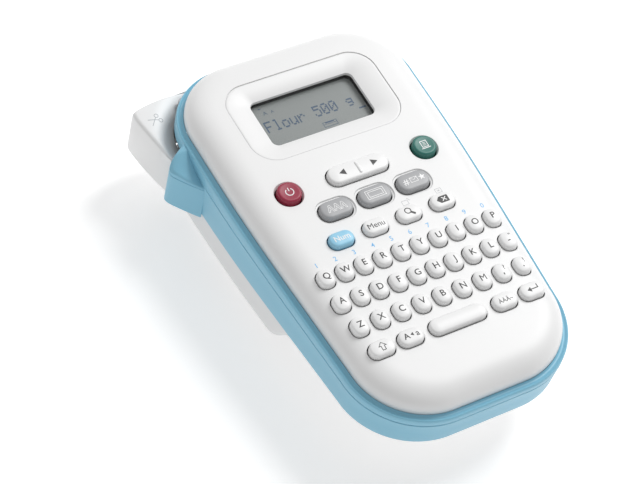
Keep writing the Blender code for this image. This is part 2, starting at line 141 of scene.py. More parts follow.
lights = {"key": {"spot": (0.72, 0.22, 0.98), "size": 0.6, "power": 8.9},
          "fill": {"spot": (0.1, 0.9, 0.8), "size": 1.0, "power": 1.6},
          "target": (0.0, 0.0, 0.03), "world": 0.5}
for name in ("key", "fill"):
    areaLight(name + " light", lights[name]["spot"], lights["target"], lights[name]["size"],
              lights[name]["power"])

world = bpy.data.worlds.new("studio")
world.use_nodes = True
world.node_tree.nodes["Background"].inputs["Color"].default_value = (1.0, 1.0, 1.0, 1.0)
world.node_tree.nodes["Background"].inputs["Strength"].default_value = lights["world"]
bpy.context.scene.world = world


# ---- materials

def linear(hexColour):
    # an sRGB hex value to linear red, green, blue and alpha
    parts = [int(hexColour[i:i + 2], 16) / 255 for i in (1, 3, 5)]
    return tuple(c / 12.92 if c <= 0.04045 else ((c + 0.055) / 1.055) ** 2.4 for c in parts) + (1.0,)


def addNode(tree, kind, settings=None, links=None):
    # one node with its input values, and links as {input: other node's output socket}
    new = tree.nodes.new(kind)
    for key, value in (settings or {}).items():
        if key in new.inputs:
            new.inputs[key].default_value = value
        else:
            setattr(new, key, value)
    for key, socket in (links or {}).items():
        tree.links.new(socket, new.inputs[key])
    return new


def mouldedPlastic(name, colour, shade, roughness=0.42, grain=0.5, relief=0.03, coat=0.0):
    # injection-moulded plastic: a fine spark-eroded grain and a very slight unevenness of tone
    material = bpy.data.materials.new(name)
    material.use_nodes = True
    tree = material.node_tree
    shader = tree.nodes["Principled BSDF"]
    shader.inputs["IOR"].default_value = 1.52
    shader.inputs["Coat Weight"].default_value = coat
    where = addNode(tree, "ShaderNodeTexCoord")
    speckle = addNode(tree, "ShaderNodeTexNoise", {"Scale": 1000 / grain, "Detail": 2.0},
                      {"Vector": where.outputs["Object"]})
    cloud = addNode(tree, "ShaderNodeTexNoise", {"Scale": 28.0, "Detail": 3.0},
                    {"Vector": where.outputs["Object"]})
    tone = addNode(tree, "ShaderNodeMix", {"data_type": "RGBA"}, {"Factor": cloud.outputs["Fac"]})
    tone.inputs[6].default_value = linear(colour)
    tone.inputs[7].default_value = linear(shade)
    tree.links.new(tone.outputs[2], shader.inputs["Base Color"])
    gloss = addNode(tree, "ShaderNodeMapRange", {"To Min": roughness - 0.05, "To Max": roughness + 0.05},
                    {"Value": speckle.outputs["Fac"]})
    tree.links.new(gloss.outputs["Result"], shader.inputs["Roughness"])
    bump = addNode(tree, "ShaderNodeBump", {"Strength": relief, "Distance": 0.0002},
                   {"Height": speckle.outputs["Fac"]})
    tree.links.new(bump.outputs["Normal"], shader.inputs["Normal"])
    return material


def printedInk(name, colour, shade, roughness=0.5):
    # pad-printed ink: flat, with the faint mottling of a thin film
    return mouldedPlastic(name, colour, shade, roughness, 0.25, 0.01)


def metal(name, colour, roughness, grain=0.2):
    # plain metal with fine brushing marks in its gloss
    material = bpy.data.materials.new(name)
    material.use_nodes = True
    tree = material.node_tree
    shader = tree.nodes["Principled BSDF"]
    shader.inputs["Base Color"].default_value = linear(colour)
    shader.inputs["Metallic"].default_value = 1.0
    where = addNode(tree, "ShaderNodeTexCoord")
    stretch = addNode(tree, "ShaderNodeMapping", {"Scale": (1.0, 1.0, 0.08)},
                      {"Vector": where.outputs["Object"]})
    brush = addNode(tree, "ShaderNodeTexNoise", {"Scale": 1000 / grain, "Detail": 2.0},
                    {"Vector": stretch.outputs["Vector"]})
    gloss = addNode(tree, "ShaderNodeMapRange", {"To Min": roughness - 0.08, "To Max": roughness + 0.1},
                    {"Value": brush.outputs["Fac"]})
    tree.links.new(gloss.outputs["Result"], shader.inputs["Roughness"])
    return material


whiteAbs = mouldedPlastic("white moulded ABS", "#ECECEC", "#E9E9E9")
whiteKey = mouldedPlastic("white key plastic", "#EEEEEE", "#EBEBEB", 0.38)
blueAbs = mouldedPlastic("blue moulded ABS", "#86C1D8", "#82BCD4", 0.4)
skyKey = mouldedPlastic("sky blue key plastic", "#98D0EA", "#93CBE6", 0.38)
greyKey = mouldedPlastic("grey key plastic", "#A9AAAC", "#A5A6A8", 0.4)
redKey = mouldedPlastic("crimson key plastic", "#9A2340", "#93213D", 0.38)
greenKey = mouldedPlastic("green key plastic", "#2B7268", "#296D64", 0.38)
blackPlastic = mouldedPlastic("black plastic", "#232323", "#1F1F1F", 0.5)
gapShadow = mouldedPlastic("dark key well", "#3C3C3C", "#383838", 0.7)
# painted reflection and shade: the dark blue that the sky-blue Num cap casts into its well, painted on the
# well's white wall
paintedBlueShadeAndReflection = mouldedPlastic("blue key well", "#1D4C78", "#1B4872", 0.6)
silicone = mouldedPlastic("silicone rubber", "#3A3A3A", "#363636", 0.7, 0.8, 0.05)
lcdGrey = mouldedPlastic("lcd polariser", "#868B8A", "#828786", 0.3, 0.4, 0.0)
lcdInk = printedInk("lcd segment ink", "#2F4C69", "#2C4864", 0.35)
darkInk = printedInk("charcoal legend ink", "#3A3A3A", "#363636")
whiteInk = printedInk("white legend ink", "#F2F2F2", "#EEEEEE")
blueInk = printedInk("light blue legend ink", "#76BDEE", "#72B9EA")
paleInk = printedInk("pale grey legend ink", "#B4B7BA", "#B0B3B6")
boardGreen = mouldedPlastic("circuit board", "#1E4A2C", "#1A4527", 0.5)
jacket = mouldedPlastic("battery jacket", "#30343A", "#2B2F35", 0.3)
labelFilm = mouldedPlastic("label film", "#EFEFE8", "#EAEAE3", 0.35)
steel = metal("steel", "#A8AAAD", 0.32)
brass = metal("brass", "#C4A45A", 0.35)

clearLens = bpy.data.materials.new("clear acrylic")
clearLens.use_nodes = True
lensShader = clearLens.node_tree.nodes["Principled BSDF"]
lensShader.inputs["Base Color"].default_value = linear("#F4F6F6")
lensShader.inputs["Roughness"].default_value = 0.06
lensShader.inputs["Alpha"].default_value = 0.02
lensShader.inputs["IOR"].default_value = 1.49
print("materials made")


# ---- mesh helpers

def makePiece(name, points, faces, material, body, smooth=40.0, faceMaterials=None, extra=()):
    # a mesh from an array of world points and a list of faces, riding on a body
    data = bpy.data.meshes.new(name)
    data.from_pydata(np.asarray(points).reshape(-1, 3).tolist(), [], [list(face) for face in faces])
    data.update()
    data.materials.append(material)
    for other in extra:
        data.materials.append(other)
    if faceMaterials is not None:
        data.polygons.foreach_set("material_index", np.asarray(faceMaterials, np.int32))
    if smooth:
        data.shade_smooth()
        data.set_sharp_from_angle(angle=math.radians(smooth))
    piece = bpy.data.objects.new(name, data)
    bpy.context.scene.collection.objects.link(piece)
    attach(piece, body)
    return piece


def ringFaces(rings, count, loop=False):
    # quads from ring to ring, each ring closed on itself; loop joins the last ring to the first
    row = np.arange(rings if loop else rings - 1)[:, None]
    col = np.arange(count)[None, :]
    nextRow = (row + 1) % rings
    nextCol = (col + 1) % count
    quads = np.stack((row * count + col, row * count + nextCol,
                      nextRow * count + nextCol, nextRow * count + col), -1)
    return quads.reshape(-1, 4).tolist()


def capFaces(rings, count):
    first = list(range(count))[::-1]
    last = list(range((rings - 1) * count, rings * count))
    return [first, last]


def roundedRectangle(width, length, radius, count=72, power=2.0):
    # a rectangle with superelliptic corners, evenly spaced round its edge, with outward normals
    steps = np.radians(np.linspace(0, 90, 40))
    arcX = np.cos(steps) ** (2 / power) * radius
    arcY = np.sin(steps) ** (2 / power) * radius
    x, y = width / 2 - radius, length / 2 - radius
    path = np.concatenate([
        np.stack((x + arcX, y + arcY), 1),
        np.stack((-x - arcX[::-1], y + arcY[::-1]), 1),
        np.stack((-x - arcX, -y - arcY), 1),
        np.stack((x + arcX[::-1], -y - arcY[::-1]), 1),
    ])
    return evenLoop(path, count)


def evenLoop(path, count):
    # a closed path resampled at equal steps, and its outward normals
    closed = np.concatenate([path, path[:1]])
    steps = np.linalg.norm(np.diff(closed, axis=0), axis=1)
    keep = np.concatenate([[True], steps > 1e-7])
    closed = closed[keep]
    length = np.concatenate([[0.0], np.cumsum(np.linalg.norm(np.diff(closed, axis=0), axis=1))])
    at = np.linspace(0, length[-1], count, endpoint=False)
    points = np.stack((np.interp(at, length, closed[:, 0]), np.interp(at, length, closed[:, 1])), 1)
    return points, loopNormals(points)


def loopNormals(points):
    # outward normals of a closed loop that runs anticlockwise, square to the chord past each point
    tangent = np.roll(points, -1, 0) - np.roll(points, 1, 0)
    tangent /= np.linalg.norm(tangent, axis=1)[:, None]
    return np.stack((tangent[:, 1], -tangent[:, 0]), 1)


# ---- the body's plan: two nearly straight sides that close in towards the user

plan = {"front": -70.6, "back": 120.3, "half": 54.5, "taper": 0.062, "taperStart": 45.0,
        "taperBlend": 12.0, "frontCorner": 32.0, "backCorner": 28.5}


def halfWidth(y):
    # straight, then closing in towards the user, with a soft bend between
    closing = (plan["taperStart"] - y) / plan["taperBlend"]
    return plan["half"] - plan["taper"] * plan["taperBlend"] * np.log1p(np.exp(closing))


def bodyOutline(count=480):
    # the white shell's edge seen square to the face: half of it is two corner arcs and a tapering side
    # between the middle of each end, cut in equal steps, and the other half is its mirror image
    angle = np.radians(np.linspace(0, 90, 60))
    frontY = plan["front"] + plan["frontCorner"]
    backY = plan["back"] - plan["backCorner"]
    frontX = halfWidth(frontY) - plan["frontCorner"]
    backX = halfWidth(backY) - plan["backCorner"]
    frontArc = np.stack((frontX + plan["frontCorner"] * np.sin(angle),
                         frontY - plan["frontCorner"] * np.cos(angle)), 1)
    backArc = np.stack((backX + plan["backCorner"] * np.cos(angle),
                        backY + plan["backCorner"] * np.sin(angle)), 1)
    sideY = np.linspace(frontY, backY, 80)[1:-1]
    side = np.stack((halfWidth(sideY), sideY), 1)
    half = np.concatenate([[(0.0, plan["front"])], frontArc, side, backArc, [(0.0, plan["back"])]])
    length = np.concatenate([[0.0], np.cumsum(np.linalg.norm(np.diff(half, axis=0), axis=1))])
    at = (np.arange(count // 2) + 0.5) * length[-1] / (count // 2)
    right = np.stack((np.interp(at, length, half[:, 0]), np.interp(at, length, half[:, 1])), 1)
    points = np.concatenate([right, right[::-1] * (-1, 1)])
    return points, loopNormals(points)


outline, outlineNormal = bodyOutline()
outlineCount = len(outline)
towardsRight = np.clip(outlineNormal[:, 0], 0, 1)
towardsBack = np.clip(outlineNormal[:, 1], 0, 1)
bandShare = 1 - 0.2 * towardsRight ** 2 - 0.5 * towardsBack ** 2


def bodyRing(outset, depth):
    # the body's outline moved out by outset, at a depth that may depend on y; what stands outside it
    # does so less at the back and on the right
    share = bandShare if outset > 0 else np.ones(outlineCount)
    points = outline + outlineNormal * (outset * share)[:, None]
    level = depth(points[:, 1]) if callable(depth) else np.full(outlineCount, float(depth))
    return toWorld(points[:, 0], points[:, 1], level)


face = {"plateau": 2.6, "edge": 11.2, "shoulder": 14.0, "wall": 2.0, "rim": 0.45}


def shoulderDepth(inset):
    # a soft quarter of a superellipse, from the edge up to the flat of the face
    share = np.clip((face["shoulder"] - np.asarray(inset, float)) / (face["shoulder"] - face["rim"]), 0, 1)
    rise = (1 - share ** 2.8) ** (1 / 1.9)
    return face["edge"] - (face["edge"] - face["plateau"]) * rise


def faceDepth(points):
    # the shell's depth under any points of the face, from their distance to its edge
    points = np.atleast_2d(points)
    gap = np.linalg.norm(points[:, None, :] - outline[None, :, :], axis=2).min(1)
    return shoulderDepth(gap)


print("plan worked out")


def sweep(name, rings, material, body, loop=False, smooth=40.0, faceMaterials=None, extra=()):
    # rings of world points joined one to the next; a loop closes on its first ring, else both ends are capped
    points = np.stack(rings)
    count = points.shape[1]
    faces = ringFaces(len(rings), count, loop)
    if not loop:
        faces += capFaces(len(rings), count)
    return makePiece(name, points, faces, material, body, smooth, faceMaterials, extra)


def flatRing(points, depth, centre=(0.0, 0.0)):
    # a loop of face-frame points at one depth, or at one depth for each point
    return toWorld(points[:, 0] + centre[0], points[:, 1] + centre[1], depth)


def cutAway(piece, cutter):
    # take the cutter's shape out of a piece for good, and drop the cutter
    change = piece.modifiers.new("cut", "BOOLEAN")
    change.operation = "DIFFERENCE"
    change.solver = "MANIFOLD"
    change.object = cutter
    graph = bpy.context.evaluated_depsgraph_get()
    data = bpy.data.meshes.new_from_object(piece.evaluated_get(graph))
    piece.modifiers.remove(change)
    old = piece.data
    data.name = piece.name
    piece.data = data
    bpy.data.meshes.remove(old)
    bpy.data.meshes.remove(cutter.data)
    data.shade_smooth()
    data.set_sharp_from_angle(angle=math.radians(40))
    if not len(data.polygons):
        raise RuntimeError(piece.name + " came out empty")


def prismMesh(name, loops, depths):
    # closed upright prisms, one for each loop of face points, in one helper object
    points, faces, start = [], [], 0
    for loop in loops:
        count = len(loop)
        points += [flatRing(loop, depths[1]), flatRing(loop, depths[0])]
        faces += [[start + i for i in face] for face in ringFaces(2, count) + capFaces(2, count)]
        start += 2 * count
    data = bpy.data.meshes.new(name)
    data.from_pydata(np.concatenate(points).tolist(), [], faces)
    data.update()
    helper = bpy.data.objects.new(name, data)
    bpy.context.scene.collection.objects.link(helper)
    return helper


# ---- every key's place comes from its CAD node, and so does its size, except for the letter keys, whose size is given

keyForm = {"flange": 0.9, "flangeSide": 0.3, "bottom": 5.7, "wellDepth": 5.3, "draught": 0.18,
           "points": 72, "power": 2.15}
keyCorners = {"letter": 3.5, "pill": 3.75, "grey": 4.5, "space": 3.75, "rocker": 4.6, "round": 5.4}
pillKeys = ("num_key", "menu_key", "search_key", "delete_key", "shift_key", "case_key", "accent_key",
            "enter_key")
greyKeys = ("font_key", "frame_key", "symbol_key")
roundKeys = ("power_button", "print_button")


def capPlan(node, kind):
    # width, length and corner of a key's cap, its centre, and the depth of its top
    low, high = faceBox(node)
    size = (high[0] - low[0] - 2 * keyForm["flangeSide"], high[1] - low[1] - 2 * keyForm["flange"],
            keyCorners[kind])
    return {"size": size, "centre": (low[:2] + high[:2]) / 2, "top": low[2], "body": node, "kind": kind}


caps = {node: capPlan(node, "pill") for node in pillKeys}
caps.update({node: capPlan(node, "grey") for node in greyKeys})
caps.update({node: capPlan(node, "round") for node in roundKeys})
caps["space_key"] = capPlan("space_key", "space")
caps["arrow_rocker"] = {**capPlan("arrow_rocker", "rocker"), "body": "rocker"}

letters = {"width": 7.3, "length": 8.8, "rows": ("QWERTYUIOP", "ASDFGHJKL-", "ZXCVBNM,.")}
for number, row in enumerate(letters["rows"], 1):
    node = f"letter_row_{number}"
    low, high = faceBox(node)
    first = low[0] + keyForm["flangeSide"] + letters["width"] / 2
    last = high[0] - keyForm["flangeSide"] - letters["width"] / 2
    for index, x in enumerate(np.linspace(first, last, len(row))):
        name = {"-": "dash", ",": "comma", ".": "stop"}.get(row[index], row[index].lower())
        caps["key_" + name] = {"size": (letters["width"], letters["length"], keyCorners["letter"]),
                               "centre": np.array((x, (low[1] + high[1]) / 2)), "top": 0.0,
                               "body": node, "kind": "letter", "letter": row[index]}

wells = {"letter": (0.32, 0.42), "pill": (0.36, 0.45), "grey": (0.42, 1.15), "space": (0.36, 0.45),
         "rocker": (0.45, 0.5), "round": (0.42, 0.75)}      # gap round the cap, and how far the rim reaches
domes = {"letter": (1.25, 0.3), "pill": (1.15, 0.25), "grey": (1.2, 0.22), "space": (1.1, 0.3),
         "rocker": (1.1, 0.3), "round": (1.0, -0.25)}     # edge radius, and rise of the crown


def capOutline(cap):
    # the plan of a cap round its own centre, with outward normals
    return roundedRectangle(*cap["size"], keyForm["points"], keyForm["power"])


def middleLine(points, width, length):
    # the nearest point to each on the line down the middle of a long cap
    spanX, spanY = max(0, (width - length) / 2), max(0, (length - width) / 2)
    return np.stack((np.clip(points[:, 0], -spanX, spanX), np.clip(points[:, 1], -spanY, spanY)), 1)


def wellOutline(cap, outset):
    points, normals = capOutline(cap)
    return points + normals * outset + cap["centre"], normals


def keyCap(name, cap, material, slot):
    # a cap: straight draughted sides, a quarter-circle edge, then a crown that rises with the square of
    # the way in to the cap's middle line
    edge, crown = domes[cap["kind"]]
    points, normals = capOutline(cap)
    middle = middleLine(points, *cap["size"][:2])
    draught = keyForm["draught"]
    rise = max(crown, 0.0)
    rings = [flatRing(points, keyForm["bottom"], cap["centre"]),
             flatRing(points - normals * draught, cap["top"] + rise + edge, cap["centre"])]
    for angle in np.radians((15, 30, 45, 60, 74)):
        inset = draught + edge * (1 - math.cos(angle))
        rings.append(flatRing(points - normals * inset, cap["top"] + rise + edge * (1 - math.sin(angle)),
                              cap["centre"]))
    inner = points - normals * (draught + edge * (1 - math.cos(math.radians(80))))
    for share in (1.0, 0.85, 0.7, 0.55, 0.4, 0.25, 0.1, 0.02):
        depth = cap["top"] + rise - crown * (1 - share ** 2) + (edge * 0.015 if share == 1.0 else 0)
        rings.append(flatRing(middle + (inner - middle) * share, depth, cap["centre"]))
    return sweep(name, rings, material, cap["body"], smooth=50)


def capDepth(cap, points):
    # the depth of a cap's crown under points given from the cap's centre
    width, length, _ = cap["size"]
    edge, crown = domes[cap["kind"]]
    reach = min(width, length) / 2 - keyForm["draught"] - edge * 0.83
    share = np.linalg.norm(points - middleLine(points, width, length), axis=1) / reach
    return cap["top"] + max(crown, 0.0) - crown * (1 - share ** 2)


def keyWell(name, cap):
    # the rim of a key's hole: a small fillet down from the face, then an upright wall
    gap, reach = wells[cap["kind"]]
    inner, normals = wellOutline(cap, gap)
    surface = faceDepth(inner + normals * reach / 2)
    if cap["kind"] == "round":
        profile = ((reach, 0.0), (reach - 0.12, 0.04), (reach - 0.22, 0.18), (0.2, 1.25), (0.07, 1.5),
                   (0.0, 1.9))
    elif cap["kind"] == "grey":
        profile = ((reach, 0.0), (reach - 0.1, 0.03), (reach - 0.22, 0.16), (reach - 0.28, 0.45),
                   (reach - 0.4, 0.62), (0.2, 0.66), (0.05, 0.75), (0.0, 1.0))
    else:
        fillet = min(reach, 0.34)
        profile = ((reach, 0.0), (fillet, 0.0), (fillet * 0.5, fillet * 0.14), (fillet * 0.14, fillet * 0.5),
                   (0.0, fillet))
    rings = [flatRing(inner + normals * out, surface + down) for out, down in profile]
    rings += [flatRing(inner, keyForm["wellDepth"]), flatRing(inner + normals * reach, keyForm["wellDepth"])]
    # the upright wall is painted dark as shade, and dark blue in the Num key's well as a painted reflection
    # of its cap
    walls = np.zeros((len(rings), keyForm["points"]), np.int32)
    walls[len(profile) - 1] = 1
    return sweep(name, rings, whiteAbs, "housing", loop=True, smooth=50,
                 faceMaterials=walls.ravel(), extra=(paintedBlueShadeAndReflection if name == "num_key_well" else gapShadow,))


finishes = {"num_key": (skyKey, "sky_key"), "power_button": (redKey, "red_key"),
            "print_button": (greenKey, "green_key"), "font_key": (greyKey, "grey_key"),
            "frame_key": (greyKey, "grey_key"), "symbol_key": (greyKey, "grey_key")}
replacedRows = set()
for name, cap in caps.items():
    pieceName = name.replace("_key", "") + "_cap"
    piece = keyCap(pieceName, cap, *finishes.get(name, (whiteKey, "white_abs")))
    if cap["kind"] != "letter":
        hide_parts(name)
    elif cap["body"] not in replacedRows:       # the row's node is hidden once, at the row's first key
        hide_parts(cap["body"])
        replacedRows.add(cap["body"])
    keyWell(name + "_well", cap)
print("keys made:", len(caps))


# ---- front shell

display = {"centre": faceCentre("display_bezel")[:2], "hole": (73.8, 42.8, 11.7),
           "frame": (73.4, 42.4, 11.5), "dish": (72.0, 41.0, 10.8), "dishDepth": 2.82,
           "window": (50.8, 24.6, 3.0), "edgeDepth": 5.6, "lens": (50.5, 24.3, 2.8)}
outerProfile = [(1.0, 13.4), (0.55, 12.6), (face["rim"], 11.9)]
wayIn = (1 - np.cos(np.linspace(0, math.pi / 2, 30))) ** 1.25       # closest together at the rim
outerProfile += [(inset, float(shoulderDepth(inset)))
                 for inset in face["rim"] + (face["shoulder"] - face["rim"]) * wayIn]
innerProfile = [(face["shoulder"] + 1, face["plateau"] + face["wall"]), (9.0, 5.3), (5.0, 7.2), (3.0, 9.6),
                (2.6, 11.5), (2.6, 13.4)]
frontShell = sweep("front_cover", [bodyRing(-inset, depth) for inset, depth in innerProfile + outerProfile],
                   whiteAbs, "housing")
holes = [wellOutline(cap, sum(wells[cap["kind"]]) - 0.03)[0] for cap in caps.values()]
holes.append(roundedRectangle(*display["hole"], 160)[0] + display["centre"])
cutAway(frontShell, prismMesh("face_holes", holes, (-3.0, 9.2)))
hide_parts("front_shell")
print("front cover cut:", len(frontShell.data.polygons), "faces")


# ---- display

def cornerPath(width, length, radius):
    # a rounded rectangle as four quarter arcs with the same steps, so two of them match corner by corner
    steps = np.radians(np.linspace(0, 90, 16))
    x, y = width / 2 - radius, length / 2 - radius
    quarter = np.stack((x + radius * np.cos(steps), y + radius * np.sin(steps)), 1)
    return np.concatenate([quarter, quarter[::-1] * (-1, 1), quarter * (-1, -1), quarter[::-1] * (1, -1)])


def grown(size, out):
    # a rounded rectangle's width, length and corner with its edge moved out
    return size[0] + 2 * out, size[1] + 2 * out, size[2] + out


windowPath = cornerPath(*display["window"])
frameRings = [flatRing(cornerPath(*display["frame"]), 6.6, display["centre"])]
for inset, depth in ((0.0, 3.3), (0.06, 3.08), (0.2, 2.92), (0.45, 2.84)):
    frameRings.append(flatRing(cornerPath(*grown(display["frame"], -inset)), depth, display["centre"]))
dishStart = cornerPath(*display["dish"])
dishDrop = display["edgeDepth"] - 0.35 - display["dishDepth"]
for share in np.linspace(0, 1, 14):
    # a dish that falls gently at first and steepens towards the window: a straight slope plus a power
    depth = display["dishDepth"] + dishDrop * (0.35 * share + 0.65 * share ** 2.2)
    dishPath = dishStart + (windowPath - dishStart) * share * 0.985
    frameRings.append(flatRing(dishPath, depth, display["centre"]))
frameRings.append(flatRing(windowPath, display["edgeDepth"], display["centre"]))
frameRings.append(flatRing(windowPath, 6.6, display["centre"]))
bezel = sweep("display_frame", frameRings, whiteAbs, "housing", loop=True)
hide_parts("display_bezel")

grooveProfile = ((0.5, 2.6), (0.3, 2.64), (0.12, 2.78), (0.02, 3.02), (0.0, 3.3), (-0.22, 3.32),
                 (-0.22, 4.0), (0.5, 4.0))
grooveRings = [flatRing(cornerPath(*grown(display["hole"], out)), depth, display["centre"])
               for out, depth in grooveProfile]
sweep("display_groove", grooveRings, whiteAbs, "housing", loop=True)

gasketRings = [flatRing(cornerPath(*grown(display["window"], out)), depth, display["centre"])
               for out, depth in ((1.0, 6.65), (-0.02, 6.65), (-0.02, 8.8), (1.0, 8.8))]
sweep("display_gasket", gasketRings, blackPlastic, "housing", loop=True)
lensPath = cornerPath(*display["lens"])
lens = sweep("display_lens", [flatRing(lensPath, 8.4, display["centre"]),
                              flatRing(lensPath, 7.45, display["centre"]),
                              flatRing(lensPath * 0.998, 7.4, display["centre"])],
             clearLens, "housing")
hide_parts("display_window")
print("display made")


# ---- band, housing and back cover

bandProfile = ((-0.35, 12.3), (0.1, 12.75), (0.6, 12.95), (1.2, 12.98), (1.7, 12.7), (2.1, 12.35),
               (2.5, 12.2), (2.8, 12.35), (3.0, 12.75), (3.1, 13.4))
seam = {"depth": 17.0, "slope": 0.02}


def seamLevel(lift=0.0):
    # the line between the band and the housing, a little deeper towards the display
    return lambda y: seam["depth"] + seam["slope"] * y - lift


bandRings = [bodyRing(out, depth) for out, depth in bandProfile]
bandRings += [bodyRing(3.1, seamLevel(0.2)), bodyRing(2.95, seamLevel()), bodyRing(-0.6, seamLevel()),
              bodyRing(-0.6, 14.6)]
band = sweep("accent_trim", bandRings[::-1], blueAbs, "housing", loop=True)
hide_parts("accent_band")

housing = {"gap": 0.3, "edge": 35.1, "edgeAt": 27.0, "outset": 3.1}
slope = -along[2] / outward[2]      # how much deeper the table lies for each millimetre towards the display


def lowerEdge(y):
    # the housing's lower edge, level with the table
    return housing["edge"] + (np.asarray(y) - housing["edgeAt"]) * abs(slope)


def housingLevel(share, lift=0.0):
    top = seamLevel(-housing["gap"])
    return lambda y: top(y) + (lowerEdge(y) - top(y)) * share - lift


housingProfile = [(1.0, 1.0, 0.0), (1.7, 1.0, 0.05), (2.05, 1.0, 0.3), (2.2, 1.0, 0.8), (2.55, 0.5, 0.0),
                  (3.04, 0.03, 0.0), (3.1, 0.0, -0.25), (2.95, 0.0, 0.0), (0.9, 0.0, 0.0), (0.4, 0.5, 0.0)]
rearHousing = sweep("blue_housing", [bodyRing(out, housingLevel(share, lift))
                                     for out, share, lift in housingProfile],
                    blueAbs, "housing", loop=True)

hump = {"depth": 58.3, "depthAt": 45.0, "start": -4.0, "full": 15.0, "lip": 3.4}


def coverBottom(y):
    # shallow in front, an S-shaped ramp, then the hump, flat on the table
    y = np.asarray(y)
    t = np.clip((y - hump["start"]) / (hump["full"] - hump["start"]), 0, 1)
    blend = t * t * (3 - 2 * t)
    shallow = lowerEdge(y) + hump["lip"]
    deep = hump["depth"] + (y - hump["depthAt"]) * abs(slope)
    return shallow + (deep - shallow) * blend


def coverLevel(share, lift=0.0):
    return lambda y: lowerEdge(y) + 0.3 + share * (coverBottom(y) - lowerEdge(y) - 0.3) - lift


def coverProfile(wall):
    # a superellipse from the upright rim to the flat bottom, in steps of angle
    angle = np.radians(np.linspace(4, 90, 16))
    inset = -1.3 + 8.3 * (1 - np.cos(angle) ** (2 / 2.6)) + wall
    return list(zip(inset, np.sin(angle) ** (2 / 2.6)))


coverWall = 2.0
outer = [bodyRing(1.3, coverLevel(0.0))]
outer += [bodyRing(-inset, coverLevel(share)) for inset, share in coverProfile(0)]
inner = [bodyRing(-0.7, coverLevel(0.0))]
inner += [bodyRing(-inset, coverLevel(share, coverWall * share)) for inset, share in coverProfile(coverWall)]
coverRings = outer[::-1] + inner
strip = np.arange(outlineCount // 2 - 1)        # each end is closed by strips across the mirrored outline
strips = np.stack((strip, strip + 1, outlineCount - 2 - strip, outlineCount - 1 - strip), 1)
lastStrips = strips + (len(coverRings) - 1) * outlineCount
coverFaces = ringFaces(len(coverRings), outlineCount) + strips[:, ::-1].tolist() + lastStrips.tolist()
backCover = makePiece("white_back", np.stack(coverRings), coverFaces, whiteAbs, "cover")
print("housing and cover made")

pocketOutline = np.array(((-75.0, 88.4), (-49.6, 88.4), (-49.6, 106.0), (-46.0, 111.5), (-34.0, 113.0),
                          (-34.0, 135.0), (-75.0, 135.0)))
for piece in (rearHousing, backCover):
    cutAway(piece, prismMesh("lever_pocket", [pocketOutline], (17.5, 47.2)))
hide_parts("rear_housing")
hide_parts("back_cover")


# ---- exit block and cutter lever

def softened(path, rounds=3, closed=True):
    # corners rounded by cutting each one off at a quarter of its sides, several times over
    path = np.array(path, float)
    for _ in range(rounds):
        ahead = np.roll(path, -1, 0) if closed else path[1:]
        here = path if closed else path[:-1]
        cutPath = np.stack((here * 0.75 + ahead * 0.25, here * 0.25 + ahead * 0.75), 1).reshape(-1, 2)
        path = cutPath if closed else np.concatenate([path[:1], cutPath, path[-1:]])
    return path


def bandGap(points):
    # how far outside the blue band each point lies
    return np.linalg.norm(points[:, None, :] - outline[None, :, :], axis=2).min(1) - housing["outset"]


exitBlock = {"outline": ((-56.0, 69.2), (-58.0, 70.9), (-65.6, 80.5), (-67.35, 83.8), (-66.6, 86.2),
                         (-62.5, 88.8), (-58.5, 91.0), (-56.0, 91.8)),
             "top": 19.3, "bottom": 39.6, "rise": 6.3, "reach": 9.8, "centre": (-59.5, 80.5)}


def blockTop(points):
    # level in front; towards the back it climbs to the band, along a quarter ellipse outwards
    reach = np.clip(bandGap(points) / exitBlock["reach"], 0, 1)
    climb = np.sqrt(1 - reach ** 2)
    back = np.clip((points[:, 1] - 71.0) / 17.0, 0, 1) ** 1.7
    return exitBlock["top"] - exitBlock["rise"] * climb * back


blockPath, blockNormal = evenLoop(softened(exitBlock["outline"])[::-1], 120)
blockRings = [flatRing(blockPath - blockNormal * 0.5, exitBlock["bottom"]),
              flatRing(blockPath, exitBlock["bottom"] - 0.5)]
blockRings += [flatRing(blockPath - blockNormal * out, depth) for out, depth in
               ((0.0, 20.75), (0.22, 20.6), (0.22, 20.3), (0.0, 20.15))]
topEdge = blockTop(blockPath)
blockRings += [flatRing(blockPath - blockNormal * 0.7 * (1 - math.cos(angle)),
                        topEdge + 0.7 * (1 - math.sin(angle))) for angle in np.radians((0, 25, 50, 75))]
centre = np.array(exitBlock["centre"])
innerEdge = blockPath - blockNormal * 0.65
for share in np.linspace(0.97, 0.02, 22):
    ringPoints = centre + (innerEdge - centre) * share
    blockRings.append(flatRing(ringPoints, blockTop(ringPoints)))
block = sweep("exit_block", blockRings, blueAbs, "housing", smooth=45)
leverRoom = np.array(((-61.5, 94.0), (-61.2, 89.6), (-58.9, 88.5), (-50.0, 92.3), (-50.0, 96.0)))
cutAway(block, prismMesh("lever_room", [leverRoom], (20.2, 47.2)))      # where the pressed lever's end goes

lever = {"inner": ((-54.6, 94.4), (-55.2, 100.0), (-53.5, 107.0), (-47.5, 113.6), (-41.0, 114.4),
                   (-38.4, 117.5), (-37.8, 122.4)),
         "outer": ((-62.4, 91.4), (-65.0, 101.6), (-66.6, 110.7), (-67.5, 118.2), (-66.4, 121.2),
                   (-53.0, 123.1), (-38.9, 123.6)),
         "top": 20.6, "bottom": 44.9, "edge": 1.9, "scoop": 3.6, "scoopReach": 10.0}


def evenPath(path, count):
    # an open path cut into equal steps
    length = np.concatenate([[0.0], np.cumsum(np.linalg.norm(np.diff(path, axis=0), axis=1))])
    at = np.linspace(0, length[-1], count)
    return np.stack((np.interp(at, length, path[:, 0]), np.interp(at, length, path[:, 1])), 1)


def leverTop(points):
    # flat, with a hollow that deepens under the band with the square of the way in
    reach = np.clip((lever["scoopReach"] - bandGap(points)) / lever["scoopReach"], 0, 1.3)
    return lever["top"] + lever["scoop"] * reach ** 2


